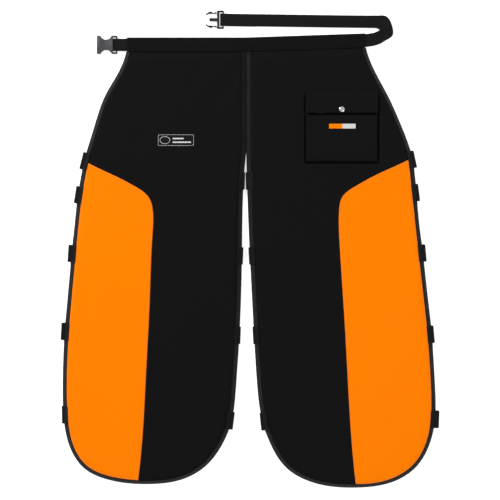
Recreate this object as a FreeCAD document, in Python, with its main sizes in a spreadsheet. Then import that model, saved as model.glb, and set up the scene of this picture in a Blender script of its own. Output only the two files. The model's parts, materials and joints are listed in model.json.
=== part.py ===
import FreeCAD, Part
import math
import os
import re

import Sketcher

# Chainsaw chaps lying flat on the floor, front face up, waist towards +Y, all sizes in millimetres.

os.makedirs("parts", exist_ok=True)
Vec = FreeCAD.Vector
doc = FreeCAD.newDocument("chainsaw_chaps")

SIZES = {
    "shift_x": -7.6875,
    "shift_y": 0.557,
    "cloth": 0.8,
    "lining_base": 8.4,
    "lining_cloth": 0.6,
    "pad_base": 9.1,
    "pad_ply": 0.7,
    "pad_pitch": 0.8,
    "pad_plies": 7,
    "shell_base": 14.8,
    "panel_cloth": 0.7,
    "binding_width": 8.0,
    "web_thick": 1.6,
    "web_middle": 4.0,
    "tab_width": 38.0,
    "tab_reach": 12.0,
    "tab_gap": 1.45,
    "hinge_gap": 0.8,
    "buckle_base": 0.3,
    "plug_base": 1.5,
    "leg_buckle_width": 47.0,
    "leg_socket_length": 48.0,
    "leg_plug_length": 48.0,
    "waist_buckle_width": 40.0,
    "waist_socket_length": 45.0,
    "waist_plug_length": 40.0,
    "socket_height": 7.6,
    "plug_height": 5.0,
    "socket_wall": 1.3,
    "bar_width": 3.0,
    "slot_length": 7.0,
    "short_web": 54.0,
    "long_web": 170.0,
    "seat_web": 108.0,
    "belt_width": 29.0,
    "casing_height": 7.2,
    "pocket_width": 158.0,
    "pocket_depth": 139.0,
    "pocket_cavity": 4.4,
    "pocket_cloth": 0.6,
    "flap_depth": 44.0,
    "flap_level": 23.2,
    "snap_cap_radius": 7.5,
    "side_cut_radius": 13.0,
    "side_cut_rise": 4.0,
}

sheet = doc.addObject("Spreadsheet::Sheet", "Dimensions")
for row, (alias, amount) in enumerate(SIZES.items(), start=1):
    sheet.set(f"A{row}", alias)
    sheet.set(f"B{row}", str(amount))
    sheet.setAlias(f"B{row}", alias)
doc.recompute()

PANEL_GAP = 0.9
LENGTH_WORDS = re.compile(r"[a-z][a-z_]+")

# Outlines of the two legs seen from above, from the waist corner down the outer edge,
# round the hem and up the inner edge to the crotch.
LEFT_EDGE = [
    (-264, 434), (-283, 386), (-311, 337), (-332, 278), (-356.4, 193.6), (-370, 119),
    (-384, -10), (-399.3, -181.5), (-404, -290), (-402, -365), (-391, -429), (-358, -482),
    (-303, -508), (-238, -517), (-190, -516), (-146, -508), (-96, -482), (-54, -429),
    (-34, -378), (-25, -310), (-17, -190), (-11.5, -15), (-7.7, 150), (-1.6, 218),
]
RIGHT_EDGE = [
    (262, 443), (283, 389), (311, 337), (335, 284), (364.8, 197), (373, 124),
    (387.2, -9), (407, -188), (414, -290), (414, -375), (403, -429), (371, -482),
    (333, -508), (240, -525), (177, -521), (131, -508), (89, -482), (54, -429),
    (36.5, -380), (25, -301), (18, -190), (8.8, -15), (2.4, 150), (0.6, 218),
]
LEFT_PANEL = [
    (-238, -508), (-228, -409), (-221, -284), (-212, -101), (-206.5, 30), (-206, 88),
    (-213, 111), (-247, 139), (-298, 165), (-347.5, 189),
]
RIGHT_PANEL = [
    (240, -516), (232, -438), (223, -297), (214.5, -143), (204, 20), (203.5, 86),
    (209, 112), (241, 139), (289, 165), (356, 196),
]
CENTRE_TOP = 434
LEGS = {"left": (LEFT_EDGE, LEFT_PANEL, 1), "right": (RIGHT_EDGE, RIGHT_PANEL, -1)}

# Strap tabs: edge point, tilt of the edge from +Y in degrees, and how far the fold stands out.
OUTER_TABS = {
    "left": [
        (-356.4, 193.6, -14, 7.5), (-370, 119, -9, 7.5), (-384, -10, -4, 9),
        (-399.3, -181.5, -3, 9), (-402, -365, 1, 4.5),
    ],
    "right": [
        (364.8, 197, 12, 7), (373, 124, 7, 7), (387.2, -9, 5, 8),
        (407, -188, 5, 6), (414, -375, -2, 10),
    ],
}
INNER_TABS = {
    "left": [(-7.7, 150, -2, 4.2), (-11.5, -15, -2, 4), (-17, -190, -2, 4), (-34, -378, -7, 6)],
    "right": [(2.4, 150, 1, 4.2), (8.8, -15, 3, 4), (18, -190, 3, 4), (36.5, -380, 6, 6)],
}


def bound(text):
    """Turn a formula of size names into one that reads the spreadsheet."""
    return LENGTH_WORDS.sub(lambda match: "Dimensions." + match.group(0), str(text))


def drive(target, path, formula):
    target.setExpression(path, bound(formula))


def new_body(label):
    body = doc.addObject("PartDesign::Body", label)
    body.Label = label
    return body


def new_sketch(body, name, level=0, plane="XY_Plane"):
    sketch = body.newObject("Sketcher::SketchObject", name)
    base = next(item for item in body.Origin.OriginFeatures if item.Role == plane)
    sketch.AttachmentSupport = [(base, "")]
    sketch.MapMode = "FlatFace"
    drive(sketch, "AttachmentOffset.Base.z", level)
    return sketch


def draw_chains(sketch, chains):
    """Closed outline from chains: two points make a line, more make a smooth curve."""
    for chain in chains:
        points = [Vec(x, y, 0) for x, y in chain]
        if len(points) == 2:
            curve = Part.LineSegment(points[0], points[1])
        else:
            curve = Part.BSplineCurve()
            curve.interpolate(points)
        number = sketch.addGeometry(curve, False)
        sketch.addConstraint(Sketcher.Constraint("Block", number))


def draw_polygon(sketch, points):
    draw_chains(sketch, list(zip(points, points[1:] + points[:1])))


def draw_rectangle(sketch, left, bottom, width, depth):
    """Rectangle whose corner and sides follow formulas of the spreadsheet."""
    corners = [Vec(0, 0, 0), Vec(10, 0, 0), Vec(10, 10, 0), Vec(0, 10, 0)]
    first = sketch.GeometryCount
    for start, end in zip(corners, corners[1:] + corners[:1]):
        sketch.addGeometry(Part.LineSegment(start, end), False)
    for side in range(4):
        after = first + (side + 1) % 4
        sketch.addConstraint(Sketcher.Constraint("Coincident", first + side, 2, after, 1))
    for side, kind in enumerate(("Horizontal", "Vertical", "Horizontal", "Vertical")):
        sketch.addConstraint(Sketcher.Constraint(kind, first + side))
    sizes = [
        (("DistanceX", first, 1, first, 2, 10.0), width),
        (("DistanceY", first + 1, 1, first + 1, 2, 10.0), depth),
        (("DistanceX", -1, 1, first, 1, 1.0), left),
        (("DistanceY", -1, 1, first, 1, 1.0), bottom),
    ]
    for arguments, formula in sizes:
        number = sketch.addConstraint(Sketcher.Constraint(*arguments))
        drive(sketch, f"Constraints[{number}]", formula)


def draw_circle(sketch, x, y, radius):
    middle = Vec(0, 0, 0)
    number = sketch.addGeometry(Part.Circle(middle, Vec(0, 0, 1), 3.0), False)
    sizes = [
        (("Radius", number, 3.0), radius),
        (("DistanceX", -1, 1, number, 3, 1.0), x),
        (("DistanceY", -1, 1, number, 3, 1.0), y),
    ]
    for arguments, formula in sizes:
        constraint = sketch.addConstraint(Sketcher.Constraint(*arguments))
        drive(sketch, f"Constraints[{constraint}]", formula)


def pad(body, sketch, length, name="Pad"):
    feature = body.newObject("PartDesign::Pad", name)
    feature.Profile = sketch
    drive(feature, "Length", length)
    return feature


def pocket(body, sketch, length, name="Pocket"):
    feature = body.newObject("PartDesign::Pocket", name)
    feature.Profile = sketch
    drive(feature, "Length", length)
    return feature


def place(part, x, y, z, angle=0.0):
    """Put a piece at garment coordinates; the common shift centres the whole object."""
    turn = FreeCAD.Rotation(Vec(0, 0, 1), angle)
    part.Placement = FreeCAD.Placement(Vec(0, 0, 0), turn)
    drive(part, "Placement.Base.x", f"{x} + shift_x")
    drive(part, "Placement.Base.y", f"{y} + shift_y")
    drive(part, "Placement.Base.z", z)


def moved(edge, side, distance):
    """Leg edge moved outwards by distance; the last point stays on the straight centre line."""
    result = []
    for index, (x, y) in enumerate(edge):
        before = edge[max(index - 1, 0)]
        after = edge[min(index + 1, len(edge) - 1)]
        along = Vec(after[0] - before[0], after[1] - before[1], 0).normalize()
        result.append((x + side * along.y * distance, y - side * along.x * distance))
    result[-1] = (edge[-1][0] + side * distance, edge[-1][1])
    return result


def leg_outline(edge, side, distance=0.0, lift=0.0):
    """Closed leg outline, moved by distance, with its waist side raised or lowered by lift."""
    line = moved(edge, side, distance)
    corner = (line[0][0], edge[0][1])
    raised = (corner[0], corner[1] + lift)
    centre = (line[-1][0], CENTRE_TOP + lift)
    line[0] = raised if lift < 0 else corner
    chains = [line, [line[-1], centre], [centre, raised]]
    return chains + [[raised, corner]] if lift > 0 else chains


def leg_layer(label, edge, side, level, thickness):
    body = new_body(label)
    sketch = new_sketch(body, "Outline")
    draw_chains(sketch, leg_outline(edge, side))
    pad(body, sketch, thickness)
    place(body, 0, 0, level)
    return body


def cut_pad(label, edge, side):
    """The saw-stopping plies, a stack of separate felted layers."""
    body = new_body(label)
    body.AllowCompound = True
    sketch = new_sketch(body, "PlyOutline")
    draw_chains(sketch, leg_outline(edge, side, -14.0, -12.0))
    ply = pad(body, sketch, "pad_ply")
    stack = body.newObject("PartDesign::LinearPattern", "Plies")
    stack.Originals = [ply]
    stack.Direction = (sketch, ["N_Axis"])
    drive(stack, "Length", "pad_pitch * (pad_plies - 1)")
    drive(stack, "Occurrences", "pad_plies")
    body.Tip = stack
    place(body, 0, 0, "pad_base")
    return body


def binding(label, edge, side):
    """Tape folded round the leg's edge, open along the waist, with the sagging hem fold."""
    body = new_body(label)
    body.AllowCompound = True
    outer = new_sketch(body, "TapeOutside")
    draw_chains(outer, leg_outline(edge, side, 0.9))
    pad(body, outer, "shell_base + cloth * 2 - (lining_base - cloth)", "Tape")
    core = new_sketch(body, "GarmentEdge", "shell_base + cloth - (lining_base - cloth)")
    draw_chains(core, leg_outline(edge, side, 0.1, 6))
    pocket(body, core, "shell_base + cloth - lining_base", "GarmentSpace")
    opening = new_sketch(body, "TapeInside", "shell_base + cloth * 2 + 1 - (lining_base - cloth)")
    draw_chains(opening, leg_outline(edge, side, -SIZES["binding_width"], 6))
    pocket(body, opening, 30, "TapeOpening")
    fold = new_sketch(body, "HemFold")
    draw_chains(fold, hem_band(edge, side))
    hem = pad(body, fold, "lining_base - cloth", "HemFoldPad")
    hem.Reversed = True
    place(body, 0, 0, "lining_base - cloth")
    return body


def hem_band(edge, side):
    """Band along the hem only, between the knee-side corners."""
    outside = moved(edge, side, -0.5)
    inside = moved(edge, side, -6.0)
    hem = range(11, 17)
    out = [outside[i] for i in hem]
    back = [inside[i] for i in reversed(hem)]
    return [out, [out[-1], back[0]], back, [back[-1], out[0]]]


def colour_panel(label, edge, inner, side):
    body = new_body(label)
    sketch = new_sketch(body, "PanelOutline")
    outer = moved(edge, side, -SIZES["binding_width"] - PANEL_GAP)[4:14]
    start = inner[-1]
    outer = [start] + outer[1:-1] + [inner[0]]
    draw_chains(sketch, [outer, inner])
    pad(body, sketch, "panel_cloth")
    place(body, 0, 0, "shell_base + cloth")
    return body


def tab_body(name, x, y, tilt, reach, outward):
    """Webbing tab stitched on the front, folded down over the edge of the leg."""
    body = new_body(name)
    front = new_sketch(body, "FrontRun", "shell_base + cloth * 2")
    draw_rectangle(front, "-tab_reach", "-tab_width / 2", f"tab_reach + {reach}", "tab_width")
    pad(body, front, "web_thick", "FrontRunPad")
    fold = new_sketch(body, "Fold", "web_middle + tab_gap")
    draw_rectangle(fold, f"{reach} - web_thick", "-tab_width / 2", "web_thick", "tab_width")
    height = "shell_base + cloth * 2 + web_thick / 2 - (web_middle + tab_gap)"
    pad(body, fold, height, "FoldPad")
    place(body, x, y, 0, tilt + (0 if outward > 0 else 180))
    return body


def tab_group(label, side_name, sign):
    tabs = []
    for number, (x, y, tilt, reach) in enumerate(OUTER_TABS[side_name]):
        tabs.append(tab_body(f"{side_name}_outer_tab_{number}", x, y, tilt, reach, -sign))
    for number, (x, y, tilt, reach) in enumerate(INNER_TABS[side_name], start=1):
        tabs.append(tab_body(f"{side_name}_inner_tab_{number}", x, y, tilt, reach, sign))
    group = doc.addObject("Part::Compound", label)
    group.Label = label
    group.Links = tabs
    return group


def strap_axis(x, y, tilt, reach, outward):
    """Middle of a tab's lower end and the direction in which its strap runs under the leg."""
    angle = math.radians(tilt + (0 if outward > 0 else 180))
    out = reach - SIZES["web_thick"] / 2
    direction = math.degrees(angle) + 180
    return x + out * math.cos(angle), y + out * math.sin(angle), direction


def webbing(label, length, x, y, direction):
    body = new_body(label)
    sketch = new_sketch(body, "WebOutline")
    draw_rectangle(sketch, "hinge_gap", "-tab_width / 2", f"{length} - hinge_gap", "tab_width")
    pad(body, sketch, "web_thick")
    place(body, x, y, "web_middle - web_thick / 2", direction)
    return body


def along(x, y, direction, distance):
    angle = math.radians(direction)
    return x + distance * math.cos(angle), y + distance * math.sin(angle)


def socket(label, size, x, y, direction):
    """Female half of a side-release buckle; x runs from its rear bar to its mouth."""
    width = f"{size}_buckle_width"
    length = f"{size}_socket_length"
    body = new_body(label)
    outline = new_sketch(body, "Outline")
    draw_rectangle(outline, 0, f"-{width} / 2", length, width)
    pad(body, outline, "socket_height", "Block")
    mouth = new_sketch(body, "Mouth", length, "YZ_Plane")
    inside = f"{width} - 2 * socket_wall"
    draw_rectangle(mouth, f"-({inside}) / 2", "socket_wall", inside, "socket_height - 2 * socket_wall")
    pocket(body, mouth, f"{length} - bar_width - slot_length - 3", "Cavity")
    windows = new_sketch(body, "SideWindows", "socket_height + 1")
    for sign in ("-", ""):
        draw_circle(windows, f"{length} * 0.55", f"{sign}({width} / 2 + side_cut_rise)", "side_cut_radius")
    pocket(body, windows, 20, "SideWindowCut")
    rear_slot(body, width, "socket_height", 2.4)
    place(body, x, y, "buckle_base", direction)
    return body


def rear_slot(body, width, height, bar):
    """Window behind the rear bar, and the bar made low so the webbing passes over it."""
    slot = new_sketch(body, "WebSlot", f"{height} + 1")
    draw_rectangle(slot, "bar_width", f"-{width} / 2 + 3.4", "slot_length", f"{width} - 6.8")
    pocket(body, slot, 20, "WebSlotCut")
    low = new_sketch(body, "LowBar", f"{height} + 1")
    draw_rectangle(low, -1, f"-{width} / 2 + 3.4", "bar_width + 1.5", f"{width} - 6.8")
    pocket(body, low, f"{height} + 1 - {bar}", "LowBarCut")


def prong_points(width, base, length, sign):
    """One springy prong seen from above: leaf, barb and tapered nose."""
    edge = width / 2
    outline = [
        (base, edge - 6.5), (base + 12, edge - 6.8), (length - 5, edge - 7.2),
        (length, edge - 11.5), (length - 1, edge - 6.5), (length - 9, edge - 2.2),
        (length - 14, edge - 2.2), (length - 14, edge - 4.6), (base + 4, edge - 4.2), (base, edge - 2.5),
    ]
    return [(x, sign * y) for x, y in outline]


def plug(label, size, x, y, direction, prongs):
    """Male half of a side-release buckle; x runs from its rear bar to its nose."""
    width = f"{size}_buckle_width"
    length = SIZES[f"{size}_plug_length"]
    body = new_body(label)
    outline = new_sketch(body, "Outline")
    draw_rectangle(outline, 0, f"-{width} / 2", "bar_width + slot_length + 5", width)
    pad(body, outline, "plug_height", "Block")
    tongue = new_sketch(body, "Tongue", 1)
    draw_rectangle(tongue, "bar_width + slot_length + 4", -3.5, f"{length * 0.8} - 14", 7)
    pad(body, tongue, "plug_height - 2", "TonguePad")
    if prongs:
        for name, sign in (("ProngA", 1), ("ProngB", -1)):
            sketch = new_sketch(body, name, 0.4)
            draw_polygon(sketch, prong_points(SIZES[width], 14.5, length, sign))
            pad(body, sketch, "plug_height - 0.8", name + "Pad")
    rear_slot(body, width, "plug_height", 1.3)
    place(body, x, y, "plug_base", direction)
    return body


def plug_arm(label, x, y, direction, sign):
    """Springy arm of the waist plug, with its barb; it flexes at its root."""
    body = new_body(label)
    sketch = new_sketch(body, "Outline", 0.4)
    base = SIZES["bar_width"] + SIZES["slot_length"] + 5.8
    draw_polygon(
        sketch, prong_points(SIZES["waist_buckle_width"], base, SIZES["waist_plug_length"], sign)
    )
    pad(body, sketch, "plug_height - 0.8")
    place(body, x, y, "plug_base", direction)
    return body


def short_half(tab, outward, names):
    x, y, direction = strap_axis(*tab, outward)
    webbing(names[0], "short_web", x, y, direction)
    start = SIZES["short_web"] - SIZES["bar_width"] - SIZES["slot_length"] + 2
    socket(names[1], "leg", *along(x, y, direction, start), direction)


def long_half(tab, outward, names, length):
    x, y, direction = strap_axis(*tab, outward)
    webbing(names[0], length, x, y, direction)
    start = SIZES[length] - SIZES["bar_width"] - SIZES["slot_length"] + 2
    plug(names[1], "leg", *along(x, y, direction, start), direction, True)


def leg_straps(side_name, sign):
    for number in range(1, 5):
        names = (f"{side_name}_outer_strap_{number}", f"{side_name}_outer_socket_{number}")
        short_half(OUTER_TABS[side_name][number], -sign, names)
        names = (f"{side_name}_inner_strap_{number}", f"{side_name}_inner_plug_{number}")
        long_half(INNER_TABS[side_name][number - 1], sign, names, "long_web")


def waistband():
    """Casing folded over the belt, with the seam that joins it to both legs."""
    body = new_body("waistband")
    sketch = new_sketch(body, "Casing")
    low = [(-264, 434), (0, 434), (262, 443)]
    high = [(262, 476), (0, 467), (-264, 467)]
    draw_polygon(sketch, low + high)
    pad(body, sketch, "casing_height", "CasingPad")
    space = new_sketch(body, "BeltSpace", "casing_height - cloth")
    inner = [(-270, 435), (0, 435), (270, 444.3), (270, 475.3), (0, 466), (-270, 466)]
    draw_polygon(space, inner)
    pocket(body, space, "casing_height - 2 * cloth", "BeltTunnel")
    seam = new_sketch(body, "Seam", "casing_height - cloth")
    draw_polygon(seam, low + [(262, 444), (0, 435), (-264, 435)])
    pad(body, seam, "shell_base + cloth - casing_height + cloth", "SeamPad")
    place(body, 0, 0, 0)


def belt_base():
    """Fixed run of belt: out of the casing on the left, folded back upwards on the right."""
    body = new_body("belt_base")
    sketch = new_sketch(body, "BeltOutline")
    points = [
        (-283.3, 436), (0, 436), (262, 445), (285, 449), (305, 459), (321, 476), (313, 506),
        (300, 519.5), (284.5, 520.5), (284.5, 491.5), (292, 488), (288, 480), (262, 474), (0, 465),
        (-283.3, 465),
    ]
    draw_polygon(sketch, points)
    pad(body, sketch, "web_thick")
    place(body, 0, 0, "web_middle - web_thick / 2")


def belt_run():
    body = new_body("belt_run")
    sketch = new_sketch(body, "BeltOutline")
    draw_rectangle(sketch, -340, "-belt_width / 2", "340 - hinge_gap", "belt_width")
    pad(body, sketch, "web_thick")
    place(body, 283, 506, "web_middle - web_thick / 2")


def pocket_bag():
    """Cargo pocket: back panel, closed sides, front panel, and the seam that carries the flap."""
    body = new_body("pocket_body")
    outline = new_sketch(body, "Outline")
    draw_rectangle(outline, 0, 0, "pocket_width", "pocket_depth")
    pad(body, outline, "pocket_cavity + 2 * pocket_cloth", "Bag")
    space = new_sketch(body, "Space", "pocket_cloth + pocket_cavity")
    draw_rectangle(
        space, "pocket_cloth", "pocket_cloth", "pocket_width - 2 * pocket_cloth", "pocket_depth"
    )
    pocket(body, space, "pocket_cavity", "BagSpace")
    back = new_sketch(body, "BackPanel")
    draw_rectangle(back, 0, "pocket_depth - 1", "pocket_width", 11.5)
    pad(body, back, "pocket_cloth", "BackPanelPad")
    seam = new_sketch(body, "FlapSeam")
    draw_rectangle(seam, 0, "pocket_depth + 9.7", "pocket_width", 0.8)
    pad(body, seam, "flap_level - shell_base - cloth - 1.1", "FlapSeamPad")
    place(body, 130, 191, "shell_base + cloth")


def pocket_flap():
    body = new_body("pocket_flap")
    outline = new_sketch(body, "Outline")
    draw_rectangle(outline, 0, "-flap_depth", "pocket_width", "flap_depth - 0.6")
    pad(body, outline, "cloth", "Flap")
    hole = new_sketch(body, "SnapHole", "cloth + 1")
    draw_circle(hole, "pocket_width / 2", -34, 1.7)
    pocket(body, hole, 5, "SnapHoleCut")
    place(body, 130, 340, "flap_level - cloth / 2")


def snap_cap():
    """Domed cap above the flap, its post through the cloth and the spring ring below."""
    body = new_body("snap_cap")
    cap = new_sketch(body, "Cap", "cloth")
    draw_circle(cap, 0, 0, "snap_cap_radius")
    pad(body, cap, 1.2, "CapPad")
    post = new_sketch(body, "Post", -0.3)
    draw_circle(post, 0, 0, 1.6)
    pad(body, post, "cloth + 0.5", "PostPad")
    ring = new_sketch(body, "Ring", -1.2)
    draw_circle(ring, 0, 0, 5.5)
    pad(body, ring, 1.2, "RingPad")
    seat = new_sketch(body, "RingSeat", -0.3)
    draw_circle(seat, 0, 0, 2.4)
    pocket(body, seat, 3, "RingSeatCut")
    place(body, "130 + pocket_width / 2", 306, "flap_level - cloth / 2")


def snap_stud():
    body = new_body("snap_stud")
    base = new_sketch(body, "Base")
    draw_circle(base, 0, 0, 5)
    pad(body, base, 0.3, "BasePad")
    knob = new_sketch(body, "Knob")
    draw_circle(knob, 0, 0, 1.8)
    pad(body, knob, 0.8, "KnobPad")
    place(body, "130 + pocket_width / 2", 306, "shell_base + cloth + pocket_cavity + 2 * pocket_cloth")


def blank_labels():
    """Two plain sewn labels with nothing written on them."""
    body = new_body("blank_labels")
    body.AllowCompound = True
    thigh = new_sketch(body, "ThighLabel")
    draw_rectangle(thigh, -196, 225, 82, 28)
    pad(body, thigh, 0.4, "ThighLabelPad")
    bag = new_sketch(body, "PocketLabel", "pocket_cavity + 2 * pocket_cloth")
    draw_rectangle(bag, 180, 263, 60, 12)
    pad(body, bag, 0.4, "PocketLabelPad")
    place(body, 0, 0, "shell_base + cloth")


def build_leg(side_name):
    edge, panel, sign = LEGS[side_name]
    out = -1 if side_name == "left" else 1
    turn = -out
    leg_layer(f"{side_name}_leg_lining", edge, turn, "lining_base", "lining_cloth")
    cut_pad(f"{side_name}_cut_pad", edge, turn)
    leg_layer(f"{side_name}_leg_shell", edge, turn, "shell_base", "cloth")
    colour_panel(f"{side_name}_leg_panel", edge, panel, turn)
    binding(f"{side_name}_leg_binding", edge, turn)
    tab_group(f"{side_name}_strap_tabs", side_name, sign)
    leg_straps(side_name, sign)


build_leg("left")
build_leg("right")
short_half(OUTER_TABS["left"][0], -1, ("seat_strap_left", "seat_socket"))
long_half(OUTER_TABS["right"][0], 1, ("seat_strap_right", "seat_plug"), "seat_web")
waistband()
belt_base()
belt_run()
socket("waist_socket", "waist", -285.1, 450.5, 180)
plug("waist_plug", "waist", -50, 506, 180, False)
plug_arm("waist_plug_arm_a", -50, 506, 180, 1)
plug_arm("waist_plug_arm_b", -50, 506, 180, -1)
pocket_bag()
pocket_flap()
snap_cap()
snap_stud()
blank_labels()
doc.recompute()

NODES = [
    item for item in doc.Objects
    if item.TypeId in ("PartDesign::Body", "Part::Compound") and "_tab_" not in item.Label
]
for item in doc.Objects:
    if "Invalid" in item.State or "Error" in item.State:
        raise RuntimeError(f"{item.Label} did not build")
for item in NODES:
    if item.Shape.isNull() or not item.Shape.isValid():
        raise RuntimeError(f"{item.Label} has no valid shape")
    item.Shape.exportStep(f"parts/{item.Label}.step")
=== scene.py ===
import json
import math

import bmesh
import bpy
import numpy as np
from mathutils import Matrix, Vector, noise


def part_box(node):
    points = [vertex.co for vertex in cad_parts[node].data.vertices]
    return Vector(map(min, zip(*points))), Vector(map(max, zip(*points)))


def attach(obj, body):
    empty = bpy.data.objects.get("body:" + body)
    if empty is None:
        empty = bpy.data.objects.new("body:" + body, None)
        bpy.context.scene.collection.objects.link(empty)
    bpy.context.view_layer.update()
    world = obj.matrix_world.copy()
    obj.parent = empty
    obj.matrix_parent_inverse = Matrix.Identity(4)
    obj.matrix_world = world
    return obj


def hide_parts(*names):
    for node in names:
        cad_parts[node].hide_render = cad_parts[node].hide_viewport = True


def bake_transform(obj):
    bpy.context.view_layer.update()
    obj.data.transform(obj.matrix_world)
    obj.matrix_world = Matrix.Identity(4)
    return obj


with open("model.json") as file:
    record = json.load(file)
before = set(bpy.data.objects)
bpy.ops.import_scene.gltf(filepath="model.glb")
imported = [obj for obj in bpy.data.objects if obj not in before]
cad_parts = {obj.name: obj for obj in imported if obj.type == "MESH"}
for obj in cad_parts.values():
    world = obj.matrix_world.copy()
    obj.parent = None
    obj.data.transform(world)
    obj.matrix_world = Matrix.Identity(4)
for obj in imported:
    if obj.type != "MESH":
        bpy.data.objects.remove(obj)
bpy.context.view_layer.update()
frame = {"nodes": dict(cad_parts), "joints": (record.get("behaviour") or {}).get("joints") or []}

# Looks of the chainsaw chaps, in metres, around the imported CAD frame.

MM = 0.001
JOINTS = {joint["name"]: joint for joint in frame["joints"]}
SIDES = ("left", "right")
TAPE_WIDTH = 8 * MM
TAPE_PROUD = 0.9 * MM
EDGE_HALF = 1.2 * MM
SHELL_TOP = 15.9 * MM
LINING_LEVEL = 8.2 * MM
ROLL = 15 * MM
WEB_THICK = 1.6 * MM
WEB_LEVEL = 4.0 * MM
STRAP_WIDTH = 38 * MM
BELT_WIDTH = 27.5 * MM
TAB_FRONT = 9 * MM
TAB_END = 6.6 * MM
EDGE_STEP = 4 * MM
GRID_MARGIN = 0.02 * MM
CENTRE_OFFSET = 0.263
BAND_BEND = 0.264
BAND_WIDTH = 33 * MM
BAND_SIDES = 24
BAND_LEVEL = 3.9 * MM
BAND_HALF = 3.1 * MM
BAND_SQUARE = 0.35
BAND_CROWN = 0.75
BAG_FULL = 6.0 * MM
BAG_LOW, BAG_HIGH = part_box("pocket_body")
BAG_MOUTH = BAG_LOW.y + 139 * MM
FLAP_SEAM = BAG_HIGH.y + 6 * MM
ACROSS_BELT = np.array([0.0, 1.0, 0.0])


# ---- reading the frame

def outline(node, level=None):
    """Boundary of a CAD node's flat face at a level (its top by default), as an ordered XY array."""
    mesh = frame["nodes"][node].data
    top = max(v.co.z for v in mesh.vertices) if level is None else level
    used = set()
    for polygon in mesh.polygons:
        corners = [mesh.vertices[i].co for i in polygon.vertices]
        if polygon.normal.z > 0.9 and all(abs(top - c.z) < 1e-5 for c in corners):
            keys = [(round(c.x, 6), round(c.y, 6)) for c in corners]
            used.update(zip(keys, keys[1:] + keys[:1]))
    after = {a: b for a, b in used if (b, a) not in used}
    loop = [next(iter(sorted(after)))]
    while after[loop[-1]] != loop[0]:
        loop.append(after[loop[-1]])
    return np.array(loop)


def unit(rows):
    """Rows of vectors, each brought to length one."""
    return rows / np.linalg.norm(rows, axis=1)[:, None]


def run_along(path):
    """Distance along a path at each of its points."""
    return np.concatenate([[0], np.cumsum(np.linalg.norm(np.diff(path, axis=0), axis=1))])


def resampled(points, step, closed=True):
    """The same line with its points at even distances, near one step apart."""
    points = np.asarray(points, float)
    if closed:
        points = np.vstack([points, points[:1]])
    total = run_along(points)
    count = max(int(total[-1] / step), 2)
    wanted = np.linspace(0, total[-1], count + 1)
    if closed:
        wanted = wanted[:-1]
    return np.stack([np.interp(wanted, total, points[:, k]) for k in range(points.shape[1])], 1)


def distance_to(loop, points):
    """Distance of each XY point from a closed boundary loop."""
    best = np.full(len(points), np.inf)
    for a, b in zip(loop, np.roll(loop, -1, axis=0)):
        d = b - a
        t = np.clip(((points - a) @ d) / max(d @ d, 1e-12), 0, 1)
        best = np.minimum(best, np.linalg.norm(points - a - t[:, None] * d, axis=1))
    return best


def fold_frames():
    """Axis point and inward direction of every strap fold, read from its joint."""
    folds = {}
    for name, joint in JOINTS.items():
        if "fold" in name:
            a = joint["axis"]
            folds[name] = (np.array(joint["pos_m"][:2]), np.array([a[1], -a[0]]))
    return folds


FOLDS = fold_frames()
LEG_LOOPS = {side: outline(f"{side}_leg_shell") for side in SIDES}
FOLD_POINTS = np.array([point for point, inward in FOLDS.values()])


# ---- the lie of the garment

def edge_height(points):
    """How high the middle of the garment's edge lies: near the floor, and lifted by each folded strap."""
    level, strap_lift, wave_lift, centre_lift = 4.6, 4.2, 0.9, 1.2
    strap_reach, centre_reach = 38 * MM, 60 * MM
    gaps = np.linalg.norm(points[:, None, :] - FOLD_POINTS[None], axis=2)
    lift = np.exp(-((gaps / strap_reach) ** 2)).max(axis=1)
    waves = np.array([noise.noise(Vector((x * 14, y * 14, 3.1))) for x, y in points])
    from_centre = points[:, 0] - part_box("waistband")[0].x - CENTRE_OFFSET
    centre = np.exp(-(from_centre / centre_reach) ** 2)
    return (level + strap_lift * lift + wave_lift * waves + centre_lift * centre * (1 - lift)) * MM


def wrinkles(points):
    """Slack of the padded cloth: broad waves, diagonal creases, and pulls at the waist and the pocket."""
    waist_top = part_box("waistband")[0].y
    pocket_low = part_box("pocket_body")[0]
    fall_length, pull_reach = 0.07, 0.07
    slump_wide, slump_long = 0.09, 0.11
    fullness, deepest = 0.7, -0.3
    out = []
    for x, y in points:
        broad = noise.noise(Vector((x * 5, y * 3.2, 0.4)))
        crease = noise.noise(Vector((x * 9 + y * 7, y * 5 - x * 4, 7.7)))
        fine = noise.noise(Vector((x * 38, y * 30, 2.2)))
        fall = noise.noise(Vector((x * 26, y * 7, 4.4))) * math.exp((y - waist_top) / fall_length)
        pull = math.hypot(x - pocket_low.x - 0.03, y - pocket_low.y + 0.03) / pull_reach
        drag = math.sin((x * 0.6 + y) * 110) * math.exp(-pull * pull)
        middle = math.hypot((x + 0.06) / slump_wide, (y - waist_top + 0.07) / slump_long)
        slump = math.sin((x * 1.3 - y) * 62) * math.exp(-middle * middle)
        height = 0.95 * broad - 1.5 * max(0.0, 0.42 - abs(crease) * 3) + 0.2 * fine
        out.append(max(fullness + height + 1.5 * fall + 0.9 * drag + 1.1 * slump, deepest))
    return np.array(out) * MM


def rolled(depth):
    """Share of the full height reached at a depth inside the edge, rising in a quarter round."""
    return np.sin(np.pi / 2 * np.clip(depth / ROLL, 0, 1))


def shell_height(points, depth=None):
    """Top of the outer shell at XY points; depth is their distance inside the edge, if known."""
    loop = LEG_LOOPS["left"] if points[:, 0].mean() < LEG_SPLIT else LEG_LOOPS["right"]
    depth = distance_to(loop, points) if depth is None else depth
    low = edge_height(points) + EDGE_HALF
    share = rolled(depth)
    return low + (SHELL_TOP - low) * share + wrinkles(points) * share


def on_shell(line, rise):
    """XYZ path along an XY line, at a height above the outer shell."""
    return np.column_stack([line, shell_height(line) + rise])


def lining_height(points, depth):
    low = edge_height(points) - EDGE_HALF
    return low + (LINING_LEVEL - low) * rolled(depth)


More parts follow.
